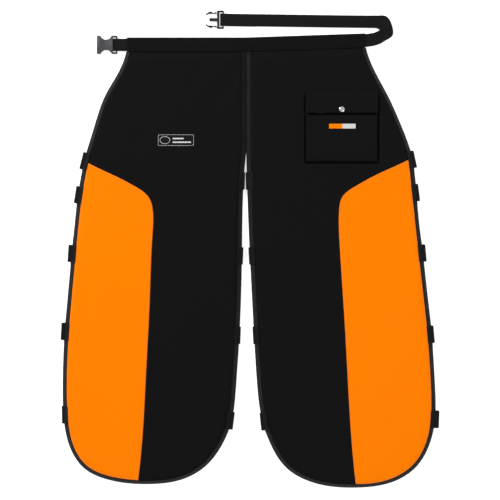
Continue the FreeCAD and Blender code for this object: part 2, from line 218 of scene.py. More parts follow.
LEG_SPLIT = float((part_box("left_leg_shell")[1].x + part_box("right_leg_shell")[0].x) / 2)


# ---- mesh makers

def make_object(name, vertices, faces, uvs=None):
    mesh = bpy.data.meshes.new(name)
    mesh.from_pydata([tuple(v) for v in vertices], [], faces)
    mesh.validate()
    if uvs is not None:
        layer = mesh.uv_layers.new(name="UVMap")
        for loop in mesh.loops:
            layer.data[loop.index].uv = uvs[loop.vertex_index]
    obj = bpy.data.objects.new(name, mesh)
    bpy.context.scene.collection.objects.link(obj)
    mesh.shade_smooth()
    mesh.set_sharp_from_angle(angle=math.radians(48))
    return obj


def make_solid(name, vertices, faces, uvs=None):
    """Object whose faces all look outward."""
    obj = make_object(name, vertices, faces, uvs)
    work = bmesh.new()
    work.from_mesh(obj.data)
    bmesh.ops.recalc_face_normals(work, faces=work.faces)
    work.to_mesh(obj.data)
    work.free()
    return obj


def tube_faces(rings, around, start=0):
    """Faces of a tube with closed ends, over rings of vertices that begin at start."""
    faces = []
    for ring in range(rings - 1):
        for k in range(around):
            a = start + ring * around + k
            b = start + ring * around + (k + 1) % around
            faces.append((a, b, b + around, a + around))
    faces.append(tuple(start + k for k in reversed(range(around))))
    faces.append(tuple(start + (rings - 1) * around + k for k in range(around)))
    return faces


def closed_sheet(name, top, thick, uvs):
    """Cloth of a real thickness from a grid of points [rows][columns][xyz]; its underside lies lower."""
    rows, columns = top.shape[:2]
    under = top.copy()
    under[:, :, 2] -= thick
    vertices = np.vstack([top.reshape(-1, 3), under.reshape(-1, 3)])
    shift = rows * columns
    faces = []
    for r in range(rows - 1):
        for c in range(columns - 1):
            a = r * columns + c
            quad = (a, a + columns, a + columns + 1, a + 1)
            faces.append(quad)
            faces.append(tuple(i + shift for i in reversed(quad)))
    rim = [r * columns for r in range(rows)]
    rim += [(rows - 1) * columns + c for c in range(1, columns)]
    rim += [r * columns + columns - 1 for r in range(rows - 2, -1, -1)]
    rim += [c for c in range(columns - 2, 0, -1)]
    for a, b in zip(rim, rim[1:] + rim[:1]):
        faces.append((b, a, a + shift, b + shift))
    return make_solid(name, vertices, faces, list(uvs) + list(uvs))


def row_levels(low, high, step, round_length):
    """Row positions from high down to low, drawn together where the outline rounds off at the low end."""
    crown, crown_rows, round_rows = 12 * MM, 16, 26
    rows = list(np.linspace(high, high - crown, crown_rows, endpoint=False))
    straight = max(int((high - crown - low - round_length) / step), 1)
    rows += list(np.linspace(high - crown, low + round_length, straight, endpoint=False))
    for k in range(round_rows + 1):
        rows.append(low + round_length * (1 - math.sin(math.pi / 2 * k / round_rows)))
    rows[-1] = low + GRID_MARGIN
    return np.array(rows)


def crossings(loop, y):
    """Lowest and highest x at which a loop crosses the line y."""
    a, b = loop, np.roll(loop, -1, axis=0)
    hit = (a[:, 1] - y) * (b[:, 1] - y) <= 0
    a, b = a[hit], b[hit]
    run = np.where(np.abs(b[:, 1] - a[:, 1]) < 1e-9, 1, b[:, 1] - a[:, 1])
    x = a[:, 0] + (b[:, 0] - a[:, 0]) * np.clip((y - a[:, 1]) / run, 0, 1)
    return x.min(), x.max()


def grid_in(loop, step, columns, round_length=110 * MM):
    """Grid of XY points that fills an outline which each level line crosses twice."""
    eased_share = 0.55
    rows = row_levels(loop[:, 1].min(), loop[:, 1].max() - GRID_MARGIN, step, round_length)
    even = np.linspace(0, 1, columns)
    eased = 0.5 - 0.5 * np.cos(np.pi * even)
    share = (1 - eased_share) * even + eased_share * eased
    grid = np.zeros((len(rows), columns, 2))
    for index, y in enumerate(rows):
        left, right = crossings(loop, y)
        grid[index, :, 0] = left + (right - left) * share
        grid[index, :, 1] = y
    return grid


def over(grid, height):
    """Grid of XY points with a height for each."""
    return np.dstack([grid, height.reshape(grid.shape[:2])])


def ribbon(name, path, across, width, thick=WEB_THICK):
    """Flat webbing along path; across is its width direction, one vector or one per point."""
    lanes, edge = 8, 0.5 * MM
    path = np.asarray(path, float)
    across = unit(np.broadcast_to(np.asarray(across, float), path.shape))
    normal = unit(np.cross(unit(np.gradient(path, axis=0)), across))
    half, shoulder = width / 2, thick * 0.2
    side = list(np.linspace(-half + edge, half - edge, lanes))
    section = [(-half, -shoulder)] + [(s, -thick / 2) for s in side] + [(half, -shoulder)]
    section += [(half, shoulder)] + [(s, thick / 2) for s in reversed(side)] + [(-half, shoulder)]
    run = run_along(path)
    vertices, uvs = [], []
    for index in range(len(path)):
        for s, lift in section:
            vertices.append(path[index] + across[index] * s + normal[index] * lift)
            uvs.append((run[index], s))
    return make_solid(name, vertices, tube_faces(len(path), len(section)), uvs)


def stitches(name, path, pitch=4.2 * MM, length=2.9 * MM, radius=0.38 * MM, closed=False):
    """Row of thread stitches laid on a seam, each a short capsule pulled down at both ends."""
    line = resampled(path, pitch, closed)
    sides = 6
    rings = ((0, 0.45, -0.7), (0.2, 1, 0), (0.8, 1, 0), (1, 0.45, -0.7))
    vertices, faces = [], []
    for index in range(len(line) if closed else len(line) - 1):
        here = line[index]
        along = line[(index + 1) % len(line)] - here
        size = np.linalg.norm(along)
        if size < 1e-6:
            continue
        along = along / size
        across = np.array([-along[1], along[0], 0])
        across /= max(np.linalg.norm(across), 1e-9)
        up = np.cross(along, across)
        up = up if up[2] > 0 else -up
        faces += tube_faces(len(rings), sides, len(vertices))
        for at, wide, sink in rings:
            middle = here + along * (length * at) + up * (radius * sink)
            for k in range(sides):
                turn = 2 * math.pi * k / sides
                vertices.append(middle + (across * math.cos(turn) + up * math.sin(turn)) * radius * wide)
    return make_object(name, vertices, faces)


def lathe(name, profile, centre):
    """Round solid from (radius, height) points turned about the vertical through centre."""
    steps = 40
    vertices = []
    for radius, height in profile:
        for k in range(steps):
            turn = 2 * math.pi * k / steps
            x, y = centre[0] + radius * math.cos(turn), centre[1] + radius * math.sin(turn)
            vertices.append((x, y, centre[2] + height))
    return make_solid(name, vertices, tube_faces(len(profile), steps))


def moulded(node, name):
    """Moulded copy of a CAD node with its edges rounded."""
    radius = 0.55 * MM
    mesh = frame["nodes"][node].data.copy()
    work = bmesh.new()
    work.from_mesh(mesh)
    bmesh.ops.remove_doubles(work, verts=work.verts, dist=1e-6)
    bmesh.ops.dissolve_limit(work, angle_limit=math.radians(2), verts=work.verts, edges=work.edges)
    sharp = [e for e in work.edges if len(e.link_faces) == 2 and e.calc_face_angle(0) > math.radians(35)]
    bmesh.ops.bevel(
        work, geom=sharp, offset=radius, segments=3, profile=0.5, affect="EDGES", clamp_overlap=True
    )
    bmesh.ops.triangulate(work, faces=[f for f in work.faces if len(f.verts) > 4])
    work.to_mesh(mesh)
    work.free()
    mesh.materials.clear()
    custom = mesh.attributes.get("custom_normal")
    if custom is not None:
        mesh.attributes.remove(custom)
    obj = bpy.data.objects.new(name, mesh)
    bpy.context.scene.collection.objects.link(obj)
    mesh.shade_smooth()
    mesh.set_sharp_from_angle(angle=math.radians(40))
    return obj


# ---- materials

def start_material(name, rough, specular, sheen=0.0, metallic=0.0):
    """New material with its constants on the shader's own sockets, and its node tree."""
    material = bpy.data.materials.new(name)
    material.use_nodes = True
    tree = material.node_tree
    constants = {
        "Roughness": rough, "Specular IOR Level": specular, "Metallic": metallic,
        "Sheen Weight": sheen, "Sheen Roughness": 0.5,
    }
    for socket, value in constants.items():
        tree.nodes["Principled BSDF"].inputs[socket].default_value = value
    return material, tree


def connect(tree, colour, rough=None, normal=None):
    """Lead a worked-out colour, roughness and surface direction into the shader."""
    sockets = tree.nodes["Principled BSDF"].inputs
    for name, value in (("Base Color", colour), ("Roughness", rough), ("Normal", normal)):
        if value is not None:
            tree.links.new(value, sockets[name])


def place_on(tree, kind="Object"):
    return tree.nodes.new("ShaderNodeTexCoord").outputs[kind]


def math_node(tree, operation, *values):
    node = tree.nodes.new("ShaderNodeMath")
    node.operation = operation
    for socket, value in zip(node.inputs, values):
        if isinstance(value, (int, float)):
            socket.default_value = value
        else:
            tree.links.new(value, socket)
    return node.outputs[0]


def weighted(tree, *parts):
    """Sum of values, each multiplied by its share."""
    total, *others = [math_node(tree, "MULTIPLY", value, share) for value, share in parts]
    for other in others:
        total = math_node(tree, "ADD", total, other)
    return total


def noise_node(tree, scale, detail, vector=None):
    node = tree.nodes.new("ShaderNodeTexNoise")
    node.inputs["Scale"].default_value = scale
    node.inputs["Detail"].default_value = detail
    tree.links.new(place_on(tree) if vector is None else vector, node.inputs["Vector"])
    return node.outputs["Fac"]


def ramp_node(tree, value, span, *colours):
    """Colour that goes between two tones while a value goes over a span."""
    node = tree.nodes.new("ShaderNodeValToRGB")
    for index in (0, 1):
        node.color_ramp.elements[index].position = span[index]
        node.color_ramp.elements[index].color = (*colours[index], 1)
    tree.links.new(value, node.inputs["Fac"])
    return node.outputs["Color"]


def range_node(tree, value, low, high):
    node = tree.nodes.new("ShaderNodeMapRange")
    node.inputs["To Min"].default_value = low
    node.inputs["To Max"].default_value = high
    tree.links.new(value, node.inputs["Value"])
    return node.outputs["Result"]


def bump_node(tree, height, distance, strength, normal=None):
    node = tree.nodes.new("ShaderNodeBump")
    node.inputs["Distance"].default_value = distance
    node.inputs["Strength"].default_value = strength
    tree.links.new(height, node.inputs["Height"])
    if normal is not None:
        tree.links.new(normal, node.inputs["Normal"])
    return node.outputs["Normal"]


def tones(colour, dark, light):
    """A darker and a lighter tone of a colour."""
    return [tuple(min(c * share, 1.0) for c in colour) for share in (dark, light)]


def weave(tree, pitch):
    """Height of crossing yarns, seen one over the other."""
    split = tree.nodes.new("ShaderNodeSeparateXYZ")
    tree.links.new(place_on(tree, "UV"), split.inputs[0])
    warp, weft = [
        math_node(tree, "ABSOLUTE", math_node(
            tree, "SINE", math_node(tree, "MULTIPLY", split.outputs[axis], math.pi / pitch)
        ))
        for axis in ("X", "Y")
    ]
    checker = tree.nodes.new("ShaderNodeTexChecker")
    checker.inputs["Scale"].default_value = 1 / pitch
    tree.links.new(place_on(tree, "UV"), checker.inputs["Vector"])
    upper = math_node(tree, "MULTIPLY", warp, checker.outputs["Fac"])
    other = math_node(tree, "SUBTRACT", 1.0, checker.outputs["Fac"])
    return math_node(tree, "ADD", upper, math_node(tree, "MULTIPLY", weft, other))


def oxford(name, colour, pitch, rough=0.86, specular=0.12, spread=0.25):
    """Plain heavy weave with worn and dusty patches."""
    material, tree = start_material(name, rough, specular)
    yarn = weave(tree, pitch)
    patches = noise_node(tree, 9.0, 5.0)
    dust = noise_node(tree, 140.0, 2.0)
    mixed = weighted(tree, (yarn, 0.5), (patches, 0.35), (dust, 0.15))
    tint = ramp_node(tree, mixed, (0.2, 0.75), *tones(colour, 1 - spread, 1 + spread))
    wear = range_node(tree, patches, rough - 0.08, rough + 0.08)
    folds = bump_node(tree, patches, 0.9 * MM, 0.35)
    connect(tree, tint, wear, bump_node(tree, yarn, 0.22 * MM, 0.6, folds))
    return material


def webbing(name, colour, pitch, chevron, rough, specular):
    """Woven tape: yarns in chevrons that turn at each lane across the width."""
    material, tree = start_material(name, rough, specular, sheen=0.05)
    split = tree.nodes.new("ShaderNodeSeparateXYZ")
    tree.links.new(place_on(tree, "UV"), split.inputs[0])
    lane = math_node(tree, "MULTIPLY", split.outputs["Y"], 1 / chevron)
    zigzag = math_node(tree, "PINGPONG", lane, 0.5)
    place = weighted(tree, (split.outputs["X"], 1.0), (zigzag, chevron))
    yarn = math_node(tree, "SINE", math_node(tree, "MULTIPLY", place, 2 * math.pi / pitch))
    worn = noise_node(tree, 40.0, 4.0)
    mixed = weighted(tree, (yarn, 0.2), (worn, 1.0))
    tint = ramp_node(tree, mixed, (0.25, 0.85), *tones(colour, 0.7, 1.45))
    height = weighted(tree, (yarn, 1.0), (zigzag, 1.2))
    wear = range_node(tree, worn, rough - 0.1, rough + 0.12)
    connect(tree, tint, wear, bump_node(tree, height, 0.25 * MM, 0.7))
    return material


def plastic(name, colour, rough, specular):
    """Moulded nylon with a fine spark-eroded grain and handling marks."""
    material, tree = start_material(name, rough, specular)
    grain = noise_node(tree, 2600.0, 2.0)
    marks = noise_node(tree, 90.0, 6.0)
    tint = ramp_node(tree, marks, (0.3, 0.75), *tones(colour, 0.85, 1.3))
    wear = range_node(tree, marks, rough - 0.1, rough + 0.16)
    connect(tree, tint, wear, bump_node(tree, grain, 0.06 * MM, 0.5))
    return material


def nickel(name):
    """Plated sheet steel, bright with faint handling marks."""
    material, tree = start_material(name, 0.22, 0.5, metallic=1.0)
    marks = noise_node(tree, 300.0, 5.0)
    tint = ramp_node(tree, marks, (0.3, 0.7), (0.55, 0.55, 0.56), (0.82, 0.82, 0.80))
    connect(tree, tint, range_node(tree, marks, 0.12, 0.34))
    return material


def felt(name, colour):
    """Needled fibre felt of the cut pad."""
    material, tree = start_material(name, 0.95, 0.05, sheen=0.3)
    stretch = tree.nodes.new("ShaderNodeMapping")
    stretch.inputs["Scale"].default_value = (1.0, 0.25, 3.0)
    tree.links.new(place_on(tree), stretch.inputs["Vector"])
    fibres = noise_node(tree, 900.0, 6.0, stretch.outputs["Vector"])
    tint = ramp_node(tree, fibres, (0.3, 0.7), *tones(colour, 0.75, 1.1))
    connect(tree, tint, normal=bump_node(tree, fibres, 0.5 * MM, 0.8))
    return material


def thread(name, colour):
    """Twisted sewing thread."""
    material, tree = start_material(name, 0.7, 0.2)
    twist = noise_node(tree, 1800.0, 2.0)
    tint = ramp_node(tree, twist, (0.3, 0.7), *tones(colour, 0.6, 1.4))
    connect(tree, tint, normal=bump_node(tree, twist, 0.1 * MM, 0.6))
    return material


BLACK = (0.0034, 0.0034, 0.0039)
MATERIALS = {
    "shell_cloth": oxford("shell_cloth", BLACK, 0.9 * MM, specular=0.09, spread=0.3),
    "orange_cloth": oxford(
        "orange_cloth", (0.93, 0.2, 0.0001), 0.9 * MM, spread=0.07, rough=0.85, specular=0.03
    ),
    "lining_cloth": oxford("lining_cloth", (0.014, 0.014, 0.016), 0.6 * MM, rough=0.8, specular=0.2),
    "binding_tape": oxford("binding_tape", (0.0088, 0.0088, 0.0096), 0.5 * MM, rough=0.72, specular=0.16),
    "webbing": webbing("webbing", (0.0028, 0.0028, 0.003), 1.5 * MM, 7 * MM, 0.62, 0.12),
    "label_cloth": oxford("label_cloth", (0.0042, 0.0042, 0.0046), 0.4 * MM, rough=0.7, specular=0.12),
    # near-black cloth: painted shade, for the bands round the pocket and under its flap
    "painted_shade_cloth": oxford("painted_shade_cloth", (0.0007, 0.0007, 0.0008), 0.6 * MM, rough=0.95, specular=0.02),
    "pale_cloth": oxford("pale_cloth", (0.62, 0.61, 0.59), 0.4 * MM, spread=0.08, rough=0.7),
    "pad_felt": felt("pad_felt", (0.74, 0.72, 0.66)),
    "black_nylon": plastic("black_nylon", (0.006, 0.006, 0.007), 0.5, 0.25),
    "satin_nylon": plastic("satin_nylon", (0.034, 0.034, 0.037), 0.36, 0.5),
    "snap_cap": nickel("snap_cap"),
    "snap_steel": nickel("snap_steel"),
    "black_thread": thread("black_thread", (0.006, 0.006, 0.0065)),
    # lighter than the orange cloth: real stitches in a tone lifted to act as a painted highlight along the
    # panel's edge
    "highlight_orange_thread": thread("highlight_orange_thread", (0.78, 0.27, 0.09)),
    "white_thread": thread("white_thread", (0.72, 0.72, 0.70)),
}


def dress(obj, material):
    obj.data.materials.clear()
    obj.data.materials.append(MATERIALS[material])
    return obj


def finish_piece(obj, material, body, nodes=()):
    dress(obj, material)
    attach(obj, body)
    if nodes:
        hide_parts(*nodes)
    return obj


# ---- the legs

def sew(name, path, body, slot, thread_name="black_thread", **options):
    """Row of stitches fixed to a body; its slot argument, the cloth that it is sewn through, is not used.
    """
    return finish_piece(stitches(name, path, **options), thread_name, body)


def leg_cloth(side):
    """Outer shell and lining of one leg."""
    loop = LEG_LOOPS[side]
    grid = grid_in(loop, step=6 * MM, columns=72)
    flat = grid.reshape(-1, 2)
    depth = distance_to(loop, flat)
    layers = (("shell", shell_height, 0.8 * MM), ("lining", lining_height, 0.5 * MM))
    for layer, height_of, thick in layers:
        top = over(grid, height_of(flat, depth))
        cloth = closed_sheet(f"{side}_leg_{layer}_cloth", top, thick, flat)
        finish_piece(cloth, f"{layer}_cloth", "garment", nodes=[f"{side}_leg_{layer}"])


def cut_pad(side):
    """Stack of felted plies, soft at its edge, between shell and lining."""
    low, high, edge_share = 9.0 * MM, 14.5 * MM, 0.35
    loop = outline(f"{side}_cut_pad")
    grid = grid_in(loop, step=12 * MM, columns=40)
    flat = grid.reshape(-1, 2)
    bulge = edge_share + (1 - edge_share) * rolled(distance_to(loop, flat) * 2)
    top = over(grid, (low + high) / 2 + (high - low) / 2 * bulge)
    thick = ((high - low) * bulge).reshape(grid.shape[:2])
    obj = closed_sheet(f"{side}_cut_pad_felt", top, thick, flat)
    finish_piece(obj, "pad_felt", "garment", nodes=[f"{side}_cut_pad"])


def leg_edge(side):
    """The leg's edge without its waist side, as an open line of points, a little longer at both ends."""
    near_waist, overrun = 1.5 * MM, 0.9
    loop = LEG_LOOPS[side][::-1] if side == "right" else LEG_LOOPS[side]
    line = resampled(loop, EDGE_STEP)
    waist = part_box("waistband")[0].y + 0.5 * MM
    if side == "right":
        outer = loop[loop[:, 0] > LEG_SPLIT + 0.2]
        corner = outer[outer[:, 1].argmax()]
        inner_x = loop[:, 0].min()
        waist = waist + (corner[1] - waist) / (corner[0] - inner_x) * (line[:, 0] - inner_x)
    on_waist = line[:, 1] > waist - near_waist
    start = next(k for k in range(len(line)) if on_waist[k - 1] and not on_waist[k])
    line = np.roll(line, -start, axis=0)[: int((~on_waist).sum())]
    first = line[0] + (line[0] - line[1]) * overrun
    last = line[-1] + (line[-1] - line[-2]) * overrun
    return np.vstack([first, line, last])


def outward(line, side):
    """Direction away from the leg at each point of its edge line."""
    along = unit(np.gradient(line, axis=0))
    normal = np.stack([along[:, 1], -along[:, 0]], 1)
    if np.sum(normal * (line - LEG_LOOPS[side].mean(axis=0))) < 0:
        normal = -normal
    return normal


def binding_rows(line, normal):
    """Lines of points along the tape, from its front hem round the edge to its back hem."""
    lowest, pucker_depth, pucker_length = 0.35 * MM, 0.22 * MM, 5.2 * MM
    mid = edge_height(line)
    pucker = pucker_depth * np.sin(np.arange(len(line)) * EDGE_STEP / pucker_length)
    front, back = [], []
    for depth in (TAPE_WIDTH, 5.5 * MM, 3 * MM, 1.2 * MM):
        at = line - normal * depth
        front.append((-depth, shell_height(at, depth) + TAPE_PROUD + pucker * (depth > 4 * MM)))
        back.append((-depth, lining_height(at, depth) - 0.5 * MM - TAPE_PROUD))
    bend = [
        (0.6 * MM, mid + EDGE_HALF + 0.5 * MM), (1.5 * MM, mid + 0.3 * MM),
        (1.0 * MM, mid - EDGE_HALF - 0.2 * MM),
    ]
    section = front + bend + back[::-1]
    return np.stack([
        np.column_stack([line + normal * offset, np.maximum(height, lowest)]) for offset, height in section
    ])


def binding(side):
    """Tape folded round the edge, following its rise and fall, with a row of stitches."""
    tape_thick, seam_depth = 0.6 * MM, 6.4 * MM
    line = leg_edge(side)
    normal = outward(line, side)
    outer = binding_rows(line, normal)
    middle = outer.mean(axis=0)
    inner = np.stack([row + unit(middle - row) * tape_thick for row in outer])
    rings = np.concatenate([outer, inner[::-1]]).transpose(1, 0, 2)
    length, count = rings.shape[:2]
    uvs = [(j * EDGE_STEP, around) for j in range(length) for around in np.linspace(0, 30 * MM, count)]
    tape = make_solid(f"{side}_binding_tape", rings.reshape(-1, 3), tube_faces(length, count), uvs)
    finish_piece(tape, "binding_tape", "garment", nodes=[f"{side}_leg_binding"])
    at = line - normal * seam_depth
    seam = np.column_stack([at, shell_height(at, seam_depth) + TAPE_PROUD + 0.1 * MM])
    sew(f"{side}_binding_seam", seam, "garment", "binding_tape",
        pitch=3.6 * MM, length=2.6 * MM, radius=0.33 * MM)


def colour_panel(side):
    """Orange panel on the outer half of the lower leg, turned under at its edge and stitched."""
    turned_edge, seam_inset = 1.6 * MM, 1.9 * MM
    loop = outline(f"{side}_leg_panel")
    grid = grid_in(loop, step=6 * MM, columns=36, round_length=60 * MM)
    flat = grid.reshape(-1, 2)
    depth = distance_to(loop, flat)
    lift = 0.25 * MM + 0.75 * MM * np.sin(np.pi / 2 * np.clip(depth / turned_edge, 0, 1))
    ridge = 0.35 * MM * np.exp(-((depth - 1.4 * MM) / (1.2 * MM)) ** 2)
    dimple = 0.3 * MM * np.exp(-((depth - 4.2 * MM) / (1.3 * MM)) ** 2)
    top = over(grid, shell_height(flat) + lift + ridge - dimple)
    obj = closed_sheet(f"{side}_orange_panel", top, 0.7 * MM, flat)
    finish_piece(obj, "orange_cloth", "garment", nodes=[f"{side}_leg_panel"])
    line = resampled(loop, 5 * MM)
    along = unit(np.roll(line, -1, axis=0) - np.roll(line, 1, axis=0))
    inside = np.stack([-along[:, 1], along[:, 0]], 1)
    if not contains(loop, (line + inside * 3 * MM)[40]):
        inside = -inside
    # stitches close to the edge in the lighter orange thread, a painted highlight along the turned edge
    seam = on_shell(line + inside * seam_inset, 1.45 * MM)
    sew(f"{side}_panel_seam", seam, "garment", "orange_cloth", "highlight_orange_thread",
        pitch=3.8 * MM, length=2.7 * MM, radius=0.34 * MM, closed=True)


def contains(loop, point):
    left, right = crossings(loop, point[1])
    return left < point[0] < right


# ---- straps and buckles

def edge_gap(fold):
    """How far a fold's axis stands outside the leg's edge."""
    point = FOLDS[fold][0]
    side = "left" if point[0] < LEG_SPLIT else "right"
    return float(distance_to(LEG_LOOPS[side], point[None])[0])


def arc(centre, radius, start, end, count):
    turns = np.radians(np.linspace(start, end, count))
    return [(centre[0] + radius * math.cos(t), centre[1] + radius * math.sin(t)) for t in turns]


def in_space(fold, pairs):
    """Points (inward distance, height) of a fold's upright plane as XYZ."""
    point, inward = FOLDS[fold]
    return np.array([(*(point + inward * s), z) for s, z in pairs])


def box_stitch(name, seam, body):
    return sew(name + "_stitches", np.array(seam), body, "webbing",
               pitch=3.4 * MM, length=2.5 * MM, radius=0.36 * MM, closed=True)


def strap_tab(fold, name):
    """Tab sewn on the front and turned down over the edge; its lower end meets the strap."""
    point, inward = FOLDS[fold]
    across = np.array([-inward[1], inward[0], 0])
    gap = edge_gap(fold)
    front = []
    for s in np.linspace(gap + TAB_FRONT, gap + 1 * MM, 8):
        at = (point + inward * s)[None]
        front.append((s, float(shell_height(at, s - gap)[0]) + TAPE_PROUD + 0.3 * MM + WEB_THICK / 2))
    bend = arc((1.6 * MM, front[-1][1] - 2.0 * MM), 1.7 * MM, 85, 180, 6)
    wall = [(0.0, z) for z in np.linspace(bend[-1][1] - 0.5 * MM, TAB_END, 3)]
    path = resampled(np.array(front + bend + wall), 1.2 * MM, closed=False)
    tab = ribbon(name, in_space(fold, path), across, STRAP_WIDTH)
    finish_piece(tab, "webbing", "garment")
    inner, outer = gap + TAB_FRONT - 1.6 * MM, gap + 3.0 * MM
    places, heights = zip(*reversed(front))
    seam = []
    for s, sign in ((inner, -1), (inner, 1), (outer, 1), (outer, -1)):
        at = point + inward * s + across[:2] * sign * (STRAP_WIDTH / 2 - 3 * MM)
        seam.append((*at, float(np.interp(s, places, heights)) + WEB_THICK / 2 + 0.1 * MM))
    box_stitch(name, seam, "garment")
    return tab


def strap_run(fold, name, length, body, node):
    """Strap that hangs from the tab and runs under the leg to its buckle, ending round the bar."""
    point, inward = FOLDS[fold]
    across = np.array([-inward[1], inward[0], 0])
    drop = [(0.0, z) for z in np.linspace(TAB_END, 6.0 * MM, 3)]
    bend = arc((2.0 * MM, WEB_LEVEL + 2.0 * MM), 2.0 * MM, 180, 270, 8)
    flat = [(s, WEB_LEVEL) for s in np.linspace(3 * MM, length - 3 * MM, max(int(length / (6 * MM)), 4))]
    tail = arc((length - 3 * MM, WEB_LEVEL - 1.0 * MM), 1.0 * MM, 90, -40, 6)
    path = resampled(np.array(drop + bend + flat + tail[1:]), 1.6 * MM, closed=False)
    web = ribbon(name, in_space(fold, path), across, STRAP_WIDTH)
    dress(web, "webbing")
    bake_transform(web)
    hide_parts(node)
    seam = []
    for back, sign in ((11, -1), (11, 1), (26, 1), (26, -1)):
        at = point + inward * (length - back * MM) + across[:2] * sign * (STRAP_WIDTH / 2 - 3.5 * MM)
        seam.append((*at, WEB_LEVEL + WEB_THICK / 2 + 0.1 * MM))
    box_stitch(name, seam, body)


def strap_length(node, fold):
    """Length of a strap from its fold axis, from its CAD node."""
    point, inward = FOLDS[fold]
    reach = [((v.co.x - point[0]) * inward[0] + (v.co.y - point[1]) * inward[1])
             for v in frame["nodes"][node].data.vertices]
    return float(max(reach))


def buckle(node, body):
    nylon = "satin_nylon" if "socket" in node else "black_nylon"
    return finish_piece(moulded(node, node + "_moulding"), nylon, body, [node])


def strap_halves():
    """Fold joint, strap, buckle half and body of every strap."""
    halves = []
    for side in SIDES:
        for number in range(1, 5):
            for edge, end in (("outer", "socket"), ("inner", "plug")):
                words = ("fold", "strap", end, "half")
                halves.append([f"{side}_{edge}_{word}_{number}" for word in words])
    halves.append(("seat_left_fold", "seat_strap_left", "seat_socket", "seat_socket_half"))
    halves.append(("seat_right_fold", "seat_strap_right", "seat_plug", "seat_plug_half"))
    return halves


def leg_straps():
    for fold, strap, end, body in strap_halves():
        side = "left" if FOLDS[fold][0][0] < LEG_SPLIT else "right"
        tab = strap_tab(fold, strap + "_tab")
        strap_run(fold, strap + "_web", strap_length(strap, fold), body, strap)
        buckle(end, body)
    for side in SIDES:
        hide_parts(f"{side}_strap_tabs")


# ---- waist

def band_lines(x):
    """Lower and upper edge of the waistband casing at x, from the CAD casing's corners."""
    return np.interp(x, BAND_X, BAND_LOW), np.interp(x, BAND_X, BAND_HIGH)


def read_band():
    """X stations along the waistband, and its lower and upper edge at each: level, then rising."""
    margin = 0.2 * MM
    low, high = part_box("waistband")
    stations = np.array([low.x + margin, low.x + BAND_BEND, high.x - margin])
    lows = np.array([low.y, low.y, float(high.y) - BAND_WIDTH])
    return stations, lows, lows + BAND_WIDTH


def band_ring(x, inward):
    """One ring of the casing at x, a little full on top; inward is the cloth's depth from its outside."""
    low, high = band_lines(x)
    pucker = 0.35 * MM * noise.noise(Vector((x * 60, 0.3, 1.0)))
    slump = 1.0 * MM * math.exp(-((x - LEG_SPLIT + 20 * MM) / (16 * MM)) ** 2) * math.sin(x * 420)
    ring = []
    for k in range(BAND_SIDES):
        turn = 2 * math.pi * k / BAND_SIDES
        c, t = math.cos(turn), math.sin(turn)
        y = (low + high) / 2 + ((high - low) / 2 - inward) * math.copysign(abs(c) ** BAND_SQUARE, c)
        z = BAND_LEVEL + (BAND_HALF - inward) * math.copysign(abs(t) ** BAND_CROWN, t)
        z += (pucker + slump + 0.4 * MM * noise.noise(Vector((x * 22, y * 30, 5)))) * max(t, 0)
        ring.append((x, y, max(z, 0.3 * MM + inward)))
    return ring


def band_faces(rings):
    """Faces of the casing: its outside, its inside, and a rim at both ends."""
    faces = []
    step = 2 * BAND_SIDES
    last = (rings - 1) * step
    for k in range(BAND_SIDES):
        next_k = (k + 1) % BAND_SIDES
        inner, next_inner = k + BAND_SIDES, next_k + BAND_SIDES
        for base in range(0, last, step):
            faces.append((base + k, base + next_k, base + next_k + step, base + k + step))
            faces.append((base + inner + step, base + next_inner + step, base + next_inner, base + inner))
        faces.append((k, inner, next_inner, next_k))
        faces.append((last + next_k, last + next_inner, last + inner, last + k))
    return faces


def waistband():
    """Casing folded over the belt, with a seam along both edges."""
    xs = np.linspace(BAND_X[0], BAND_X[-1], 110)
    vertices, uvs = [], []
    for x in xs:
        vertices += band_ring(x, 0) + band_ring(x, 0.8 * MM)
        uvs += [(x, k / BAND_SIDES * 74 * MM) for k in range(BAND_SIDES)] * 2
    band = make_solid("waistband_casing", vertices, band_faces(len(xs)), uvs)
    finish_piece(band, "shell_cloth", "garment", nodes=["waistband"])
    for name, share in (("lower", 0.11), ("upper", 0.9)):
        line = []
        for x in np.linspace(BAND_X[0] + 3 * MM, BAND_X[-1] - 3 * MM, 90):
            low, high = band_lines(x)
            y = low + (high - low) * share
            c = abs((y - (low + high) / 2) / ((high - low) / 2)) ** (1 / BAND_SQUARE)
            z = BAND_LEVEL + BAND_HALF * math.sqrt(max(1 - c * c, 0)) ** BAND_CROWN
            line.append((x, y, z + 0.25 * MM))
        sew(f"waistband_{name}_seam", np.array(line), "garment", "shell_cloth")


def belt_blend(piece):
    """Webbing between two places along the belt, dressed, left on no body, with its placement baked into
    its mesh.
    """
    dress(piece, "webbing")
    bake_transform(piece)


def belt_stub():
    """Short end of the belt, from inside the casing to round the bar of its socket."""
    x, y = JOINTS["waist_socket_lift"]["pos_m"][:2]
    path = [(at, y, WEB_LEVEL) for at in np.linspace(BAND_X[0] + 4 * MM, x - 9 * MM, 22)]
    path += [(x - 10 * MM, y, WEB_LEVEL - 0.6 * MM), (x - 10.4 * MM, y, WEB_LEVEL - 1.8 * MM)]
    stub = ribbon("belt_stub", path, ACROSS_BELT, BELT_WIDTH)
    belt_blend(stub)


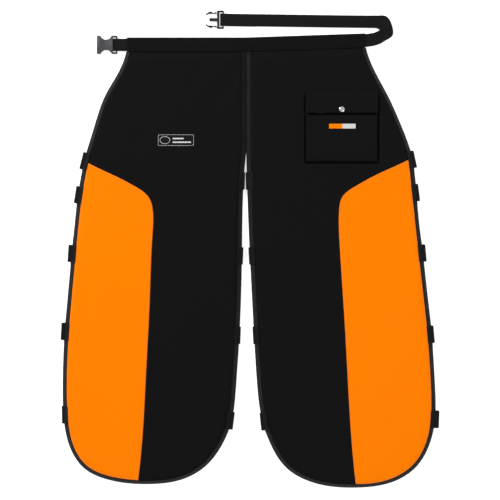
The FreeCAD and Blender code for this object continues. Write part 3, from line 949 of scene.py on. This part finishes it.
def turn_edges(x, y):
    """Outer and inner edge of the belt where it leaves the casing and turns back to the point (x, y)."""
    low, high = band_lines(BAND_X[-1])
    lower, upper = y - belt_sag(x) - BELT_WIDTH / 2, y - belt_sag(x) + BELT_WIDTH / 2
    mouth = BAND_X[-1] - 4 * MM
    outer = [
        (mouth, low + 2 * MM), (x + 4 * MM, low + 7 * MM), (x + 22 * MM, low + 16 * MM),
        (x + 40 * MM, low + 30 * MM), (x + 35 * MM, y - 5 * MM),
        (x + 23.5 * MM, y + 8.5 * MM), (x + 4 * MM, upper), (x - 14 * MM, upper),
    ]
    inner = [
        (mouth, high - 2 * MM), (x - 5 * MM, high + 0.6 * MM), (x + 4 * MM, high + 3.6 * MM),
        (x + 10.6 * MM, high + 7 * MM), (x + 10 * MM, high + 8.2 * MM),
        (x + 4 * MM, lower - 0.4 * MM), (x - 2 * MM, lower), (x - 14 * MM, lower),
    ]
    return smooth_path(outer, 96), smooth_path(inner, 96)


def belt_turn_back():
    """The slanting fold, which stays on the casing, and the turn, which is left on no body like the free
    run.
    """
    x, y = JOINTS["belt_run_lift"]["pos_m"][:2]
    top, uvs = belt_turn(*turn_edges(x, y))
    middle_x = top[:, :, 0].mean(axis=1)
    far = int(middle_x.argmax())
    split = far + int(np.argmax(middle_x[far:] < x + 9 * MM))
    fold = closed_sheet("belt_fold", top[:split + 1], WEB_THICK, uvs[:split + 1].reshape(-1, 2))
    finish_piece(fold, "webbing", "garment", nodes=["belt_base"])
    turn = closed_sheet("belt_turn", top[split:], WEB_THICK, uvs[split:].reshape(-1, 2))
    belt_blend(turn)


def belt_free_run():
    """Free run from the turn to the plug, and the loose tail that comes back under it."""
    x, y = JOINTS["belt_run_lift"]["pos_m"][:2]
    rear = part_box("waist_plug")[1].x
    places = np.linspace(x - 13.5 * MM, rear - 4 * MM, 90)
    waves = 0.5 * MM * np.sin(places * 23)
    waves[-8:] = 0.0
    path = [(at, y - belt_sag(at), WEB_LEVEL + wave) for at, wave in zip(places, waves)]
    path += [(rear - 7 * MM, y, WEB_LEVEL - 0.6 * MM), (rear - 7.6 * MM, y, WEB_LEVEL - 1.6 * MM)]
    web = ribbon("belt_free_run", path, ACROSS_BELT, BELT_WIDTH)
    belt_blend(web)
    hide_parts("belt_run")
    tail = [(at, y - belt_sag(at), 1.5 * MM) for at in np.linspace(rear + 2 * MM, rear + 70 * MM, 24)]
    finish_piece(ribbon("belt_tail", tail, ACROSS_BELT, BELT_WIDTH, 1.5 * MM), "webbing", "waist_plug")


def belt():
    """Stub, turn-back and free run of the belt webbing, and its buckle."""
    belt_stub()
    belt_turn_back()
    belt_free_run()
    buckle("waist_socket", "waist_socket")
    buckle("waist_plug", "waist_plug")
    buckle("waist_plug_arm_a", "plug_arm_a")
    buckle("waist_plug_arm_b", "plug_arm_b")


def belt_sag(x):
    """How far the free run lies below its straight line at x: level at the plug, lower at the turn."""
    plug_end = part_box("waist_plug")[1].x
    turn_end = JOINTS["belt_run_lift"]["pos_m"][0]
    return 4.6 * MM * min(max((x - plug_end) / (turn_end - plug_end), 0.0), 1.0) ** 0.8


def belt_turn(outer, inner):
    """Grid and UVs of webbing folded on the slant where the belt turns back, from its two edges."""
    lanes = np.linspace(0, 1, 14)
    grid = outer[:, None, :] * (1 - lanes[None, :, None]) + inner[:, None, :] * lanes[None, :, None]
    place = np.linspace(0, 1, len(outer))
    folded = np.exp(-((place - 0.52) / 0.13) ** 2)
    lift = folded[:, None] * (0.9 + 1.3 * (1 - lanes[None, :]))
    crease = 0.5 * np.sin(place * 40)[:, None] * folded[:, None] * (0.4 + 0.6 * lanes[None, :])
    top = np.dstack([grid, WEB_LEVEL + WEB_THICK / 2 + (lift + crease) * MM])
    run = run_along((outer + inner) / 2)
    uvs = np.stack(np.broadcast_arrays(run[:, None], (lanes[None, :] - 0.5) * BELT_WIDTH), axis=2)
    return top, uvs


def smooth_path(points, count):
    """Smooth curve through a few XY points."""
    points = np.asarray(points, float)
    padded = np.vstack([2 * points[0] - points[1], points, 2 * points[-1] - points[-2]])
    result = []
    spans = len(points) - 1
    for k in range(count):
        place = k / (count - 1) * spans
        index = min(int(place), spans - 1)
        t = place - index
        a, b, c, d = padded[index:index + 4]
        bend = (2 * a - 5 * b + 4 * c - d) * t ** 2 + (3 * b - a - 3 * c + d) * t ** 3
        result.append(0.5 * (2 * b + (c - a) * t + bend))
    return np.array(result)


def turned(path):
    """Width direction of webbing that lies flat along a turning path."""
    along = np.gradient(path, axis=0)
    return unit(np.stack([-along[:, 1], along[:, 0], np.zeros(len(path))], 1))


# ---- pocket, snap and labels

def cloth_patch(name, low, high, counts, height_of, thick):
    """Flat cloth between two XY corners, with (rows, columns) of points at the height of height_of."""
    rows, columns = counts
    u, v = np.meshgrid(np.linspace(0, 1, columns), np.linspace(0, 1, rows))
    grid = np.dstack([low[0] + (high[0] - low[0]) * u, high[1] + (low[1] - high[1]) * v])
    flat = grid.reshape(-1, 2)
    return closed_sheet(name, over(grid, height_of(flat)), thick, flat)


def above_shell(rise):
    return lambda points: shell_height(points) + rise


def bag_height(points):
    """Top of the pocket's front: full in the middle, and sewn down at its sides and bottom."""
    width, tall = BAG_HIGH.x - BAG_LOW.x, BAG_MOUTH - BAG_LOW.y
    u = (points[:, 0] - BAG_LOW.x) / width
    v = (BAG_MOUTH - points[:, 1]) / tall
    sides = np.sin(np.pi / 2 * np.clip(np.minimum(u, 1 - u) * width / (4.5 * MM), 0, 1))
    bottom = np.sin(np.pi / 2 * np.clip((1 - v) * tall / (7 * MM), 0, 1))
    slack = np.array([noise.noise(Vector((x * 16, y * 13, 9.0))) for x, y in points])
    across = np.sin(np.pi * u)
    full = BAG_FULL - 1.1 * MM * across * (1 - v) * 0.4 + 1.0 * MM * v * across
    rise = (full - 0.9 * MM + 0.5 * MM * slack) * sides * bottom
    return shell_height(points) + 0.9 * MM + rise


def on_bag(corners, step, rise):
    """XYZ path along an open line on the pocket's front."""
    line = resampled(np.array(corners), step, closed=False)
    return np.column_stack([line, bag_height(line) + rise])


def pocket():
    """Cargo pocket: back, full front with its seams, near-black bands of painted shade round it and under
    the flap, label, flap and snap.
    """
    low, high, mouth = BAG_LOW, BAG_HIGH, BAG_MOUTH
    front = cloth_patch("pocket_front", (low.x, low.y), (high.x, mouth), (64, 68), bag_height, 0.6 * MM)
    finish_piece(front, "shell_cloth", "garment", nodes=["pocket_body"])
    rear = cloth_patch(
        "pocket_back", (low.x + 1.5 * MM, low.y + 2 * MM), (high.x - 1.5 * MM, high.y + 4 * MM),
        (40, 40), above_shell(0.85 * MM), 0.5 * MM,
    )
    finish_piece(rear, "shell_cloth", "garment")
    left, right, bottom, top = low.x + 3 * MM, high.x - 3 * MM, low.y + 3.9 * MM, mouth - 2 * MM
    border = [(left, top), (left, bottom), (right, bottom), (right, top)]
    sew("pocket_seam", on_bag(border, 4 * MM, 0.15 * MM), "garment", "shell_cloth")
    hem = [(low.x + 6 * MM, mouth - 9 * MM), (high.x - 6 * MM, mouth - 9 * MM)]
    sew("pocket_hem_seam", on_bag(hem, 4 * MM, 0.15 * MM), "garment", "shell_cloth")
    pocket_painted_shade()
    pocket_label()
    flap()
    snap()


def flap_height(points, u, v):
    """Top of the flap: flat where it is sewn, then level with its hinge and drooping to its edge."""
    hinge = JOINTS["pocket_flap_lift"]["pos_m"]
    y = points[:, 1]
    base = shell_height(points) + 1.5 * MM
    rise = np.clip((FLAP_SEAM - 3 * MM - y) / (8 * MM), 0, 1)
    rise = rise * rise * (3 - 2 * rise)
    level = hinge[2] - 0.1 * MM - 0.8 * MM * np.clip((hinge[1] - y) / (44 * MM), 0, 1) ** 2
    wave = 0.35 * MM * np.sin(u * 9.0) * np.clip(v, 0, 1)
    return base + (level + wave - base) * rise


def flap():
    """Pocket flap: sewn above the mouth, rising over it, with a turned and stitched edge."""
    hinge = JOINTS["pocket_flap_lift"]["pos_m"]
    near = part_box("pocket_flap")[0].y
    bow_depth = 1.6 * MM
    left, right = BAG_LOW.x - 0.5 * MM, BAG_HIGH.x + 0.5 * MM
    u, v = np.meshgrid(np.linspace(0, 1, 64), np.linspace(0, 1, 40))
    bow = bow_depth * np.sin(np.pi * u)
    grid = np.dstack([left + (right - left) * u, FLAP_SEAM + (near - bow + bow_depth - FLAP_SEAM) * v])
    flat = grid.reshape(-1, 2)
    top = over(grid, flap_height(flat, u.ravel(), v.ravel()))
    cover = closed_sheet("pocket_flap_cloth", top, 0.8 * MM, flat)
    dress(cover, "shell_cloth")
    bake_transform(cover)
    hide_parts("pocket_flap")
    flap_seams(left, right, near, hinge[1] - 6 * MM)


def flap_seams(left, right, near, far):
    """Stitches round the flap's loose edge, and along its sewn edge."""
    inset, edge_place = 3.2 * MM, 0.8
    corners = np.array([
        (left + inset, far), (left + inset, near + inset + 1.0 * MM), ((left + right) / 2, near + inset),
        (right - inset, near + inset + 1.0 * MM), (right - inset, far),
    ])
    line = resampled(corners, 4 * MM, closed=False)
    height = flap_height(line, (line[:, 0] - left) / (right - left), np.full(len(line), edge_place))
    sew("pocket_flap_seam", np.column_stack([line, height + 0.15 * MM]), "pocket_flap", "shell_cloth")
    y = FLAP_SEAM - 1.6 * MM
    line = resampled(np.array([(left + 2 * MM, y), (right - 2 * MM, y)]), 4 * MM, closed=False)
    sew("pocket_flap_top_seam", on_shell(line, 1.65 * MM), "garment", "shell_cloth")


def in_mm(*pairs):
    return [(radius * MM, height * MM) for radius, height in pairs]


def snap():
    """Snap fastener: domed cap and ring on the flap, stud on the pocket."""
    low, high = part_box("snap_cap")
    x, y = (low.x + high.x) / 2, (low.y + high.y) / 2
    radius = (high.x - low.x) / 2 - 1.4 * MM
    dome = [(radius * 0.99, -1.5 * MM), (radius, -1.1 * MM), (radius * 0.97, -0.7 * MM)]
    dome += [(radius * math.cos(t), -0.7 * MM + 1.6 * MM * math.sin(t)) for t in np.linspace(0.3, 1.45, 8)]
    cap = lathe("snap_cap_dome", dome, (x, y, high.z))
    finish_piece(cap, "snap_cap", "pocket_flap", nodes=["snap_cap"])
    ring = in_mm((2.4, -0.2), (5.0, -0.2), (5.5, -0.6), (5.3, -1.2), (2.9, -1.3), (2.4, -0.9))
    finish_piece(lathe("snap_ring", ring, (x, y, low.z + 1.3 * MM)), "snap_steel", "pocket_flap")
    knob = in_mm((5.0, 0.0), (5.0, 0.3), (2.2, 0.5), (1.5, 0.7), (1.8, 1.0), (1.2, 1.3))
    base = (x, y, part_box("snap_stud")[0].z + 0.5 * MM)
    finish_piece(lathe("snap_stud_knob", knob, base), "snap_steel", "garment", nodes=["snap_stud"])


def labels():
    """Plain dark label sewn on the thigh, with a light border, an oval and two bars, and no lettering."""
    width, tall, inset = 82 * MM, 28 * MM, 2.2 * MM
    left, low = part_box("blank_labels")[0][:2]
    patch = cloth_patch(
        "thigh_label", (left, low), (left + width, low + tall), (16, 40), above_shell(0.75 * MM), 0.35 * MM
    )
    finish_piece(patch, "label_cloth", "garment", nodes=["blank_labels"])
    near, far, bottom, top = left + inset, left + width - inset, low + inset, low + tall - inset
    border = resampled(np.array([(near, bottom), (far, bottom), (far, top), (near, top)]), 4 * MM)
    sew("thigh_label_border", on_shell(border, 0.85 * MM), "garment", "label_cloth", "white_thread",
        pitch=3.0 * MM, length=2.4 * MM, closed=True)
    for number, reach in enumerate((40 * MM, 24 * MM)):
        start = (left + 34 * MM, low + (8 + 8 * number) * MM)
        end = (start[0] + reach, start[1] + 3 * MM)
        name = f"thigh_label_bar_{number + 1}"
        bar = cloth_patch(name, start, end, (4, 20), above_shell(1.05 * MM), 0.25 * MM)
        finish_piece(bar, "pale_cloth", "garment")
    turns = np.linspace(0, 2 * math.pi, 30, endpoint=False)
    middle_x, middle_y = left + 17 * MM, low + tall / 2
    oval = np.column_stack([middle_x + 11 * MM * np.cos(turns), middle_y + 8 * MM * np.sin(turns)])
    sew("thigh_label_oval", on_shell(oval, 0.9 * MM), "garment", "label_cloth", "white_thread",
        pitch=2.6 * MM, length=2.4 * MM, radius=0.55 * MM, closed=True)


def pocket_painted_shade():
    """Near-black bands of painted shade: one along the pocket's sides and bottom, where its bellows fold
    in, and a painted shadow of the flap's edge across the mouth.
    """
    low, high, edge = BAG_LOW, BAG_HIGH, 0.8 * MM
    left, right, bottom = low.x - edge, high.x + edge, low.y - edge
    corners = [(left, high.y), (left, bottom), (right, bottom), (right, high.y)]
    path = on_shell(resampled(np.array(corners), 3 * MM, closed=False), 0.5 * MM)
    # this near-black band is painted shade along the pocket's edge, where its bellows fold in
    side_shade_band = ribbon("pocket_painted_shade", path, turned(path), 4.4 * MM, 0.8 * MM)
    finish_piece(side_shade_band, "painted_shade_cloth", "garment")
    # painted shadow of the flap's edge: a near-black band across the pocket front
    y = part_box("pocket_flap")[0].y + 0.4 * MM
    path = on_bag([(low.x + 2 * MM, y), (high.x - 2 * MM, y)], 3 * MM, 0.35 * MM)
    mouth_shade_band = ribbon("pocket_mouth_painted_shade", path, turned(path), 5.0 * MM, 0.5 * MM)
    finish_piece(mouth_shade_band, "painted_shade_cloth", "garment")


def pocket_label():
    """Small woven bar on the pocket, one half orange and one half pale, without lettering."""
    middle = BAG_LOW.x + (BAG_HIGH.x - BAG_LOW.x) / 2
    centre_y = BAG_LOW.y + 0.52 * (BAG_MOUTH - BAG_LOW.y) + 6 * MM
    bottom, top = centre_y - 5.2 * MM, centre_y + 5.2 * MM
    halves = (("orange", middle - 28 * MM, middle + 1 * MM), ("pale", middle + 1 * MM, middle + 30 * MM))
    for tone, left, right in halves:
        bar = cloth_patch(
            f"pocket_label_{tone}", (left, bottom), (right, top), (8, 20),
            lambda points: bag_height(points) + 0.3 * MM, 0.25 * MM,
        )
        finish_piece(bar, f"{tone}_cloth", "garment")


BAND_X, BAND_LOW, BAND_HIGH = read_band()
for leg in SIDES:
    leg_cloth(leg)
    cut_pad(leg)
    binding(leg)
    colour_panel(leg)
leg_straps()
waistband()
belt()
pocket()
labels()


# ---- stage

def stage():
    mesh = bpy.data.meshes.new("floor")
    reach = 40.0
    corners = [(-reach, -reach, 0), (reach, -reach, 0), (reach, reach, 0), (-reach, reach, 0)]
    mesh.from_pydata(corners, [], [(0, 1, 2, 3)])
    floor = bpy.data.objects.new("floor", mesh)
    bpy.context.scene.collection.objects.link(floor)
    material = bpy.data.materials.new("floor_paper")
    material.use_nodes = True
    shader = material.node_tree.nodes["Principled BSDF"]
    shader.inputs["Base Color"].default_value = (0.9, 0.9, 0.9, 1)
    shader.inputs["Roughness"].default_value = 0.9
    shader.inputs["Specular IOR Level"].default_value = 0.1
    shader.inputs["Emission Color"].default_value = (1, 1, 1, 1)
    shader.inputs["Emission Strength"].default_value = 0.6
    mesh.materials.append(material)


def area_light(name, place, target, size, power):
    data = bpy.data.lights.new(name, "AREA")
    data.shape = "DISK"
    data.size = size
    data.energy = power
    lamp = bpy.data.objects.new(name, data)
    lamp.location = place
    lamp.rotation_euler = (Vector(target) - Vector(place)).to_track_quat("-Z", "Y").to_euler()
    bpy.context.scene.collection.objects.link(lamp)


def lights():
    area_light("key", (-2.0, 2.0, 2.2), (0, 0, 0), 0.8, 88)
    area_light("fill", (2.0, -1.2, 2.6), (0, 0, 0), 2.2, 24)
    world = bpy.data.worlds.new("studio")
    world.use_nodes = True
    background = world.node_tree.nodes["Background"]
    background.inputs["Color"].default_value = (1, 1, 1, 1)
    background.inputs["Strength"].default_value = 0.62
    bpy.context.scene.world = world


def camera():
    data = bpy.data.cameras.new("camera")
    data.lens = 85
    data.sensor_width = 36
    width = 1.1
    eye = bpy.data.objects.new("camera", data)
    eye.location = (0.0, -0.0016, 0.012 + width * data.lens / data.sensor_width)
    bpy.context.scene.collection.objects.link(eye)
    bpy.context.scene.camera = eye


stage()
lights()
camera()
bpy.context.scene.view_settings.view_transform = "Standard"
